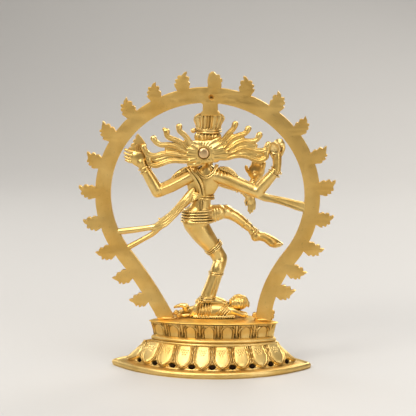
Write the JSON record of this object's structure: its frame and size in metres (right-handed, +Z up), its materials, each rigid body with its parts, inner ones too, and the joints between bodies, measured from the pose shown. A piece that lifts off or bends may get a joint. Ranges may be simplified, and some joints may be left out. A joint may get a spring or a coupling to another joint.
{
  "type": "brass temple dancer statue",
  "caption": "Standing brass four-armed dancer on a prone dwarf inside a flame-edged ring, on a pointed-oval lotus base with a hollow underside.",
  "frame": {"origin": "on the floor, under the middle of the whole outline", "axes": "+Z up; the figure and the relief side of the ring face -Y; +X is the figure's own left"},
  "size_m": [0.1702, 0.07, 0.1995],
  "materials": {
    "base_brass": "cast, brushed on the high spots, brown patina in the hollows",
    "arch_brass": "satin, fine brushing, filed bevels",
    "figure_brass": "cast and buffed, dark patina in the folds",
    "ornament_brass": "buffed bright, dark patina between the beads",
    "fixing_brass": "turned, polished head",
    "fixing_steel": "plain zinc-plated steel"
  },
  "bodies": {
    "root": {"plinth_rim": "base_brass", "lotus_skirt": "base_brass", "lower_petals": "base_brass", "waist_moulding": "base_brass", "upper_lotus_band": "base_brass", "upper_petals": "base_brass", "platform": "base_brass", "figure_stud": "fixing_steel", "figure_washer": "fixing_steel", "figure_nut": "fixing_steel", "arch_ring": "arch_brass", "arch_flames": "arch_brass", "arch_front_rib": "arch_brass", "arch_foot_scrolls": "arch_brass", "dwarf_body": "figure_brass", "dwarf_head": "figure_brass", "dwarf_legs": "figure_brass", "dwarf_arm": "figure_brass", "standing_leg": "figure_brass", "standing_foot": "figure_brass", "raised_leg": "figure_brass", "raised_foot": "figure_brass", "hips": "figure_brass", "torso": "figure_brass", "head": "figure_brass", "ear_ornaments": "ornament_brass", "headband": "ornament_brass", "crown": "figure_brass", "crown_feathers": "ornament_brass", "hair_fan_plate": "figure_brass", "hair_locks_left": "figure_brass", "hair_locks_right": "figure_brass", "hair_rivet": "fixing_brass", "rear_left_arm": "figure_brass", "rear_left_hand": "figure_brass", "hand_flame": "ornament_brass", "rear_right_arm": "figure_brass", "rear_right_hand": "figure_brass", "hand_drum": "ornament_brass", "front_right_arm": "figure_brass", "front_right_hand": "figure_brass", "front_left_arm": "figure_brass", "front_left_hand": "figure_brass", "serpent_strut": "figure_brass", "sash_tail": "figure_brass", "waist_sash": "ornament_brass", "sacred_thread": "ornament_brass", "necklace": "ornament_brass", "waist_belts": "ornament_brass", "bracelets": "ornament_brass", "anklets": "ornament_brass", "leg_bands": "ornament_brass", "shoulder_tassels": "figure_brass"}
  },
  "joints": []
}
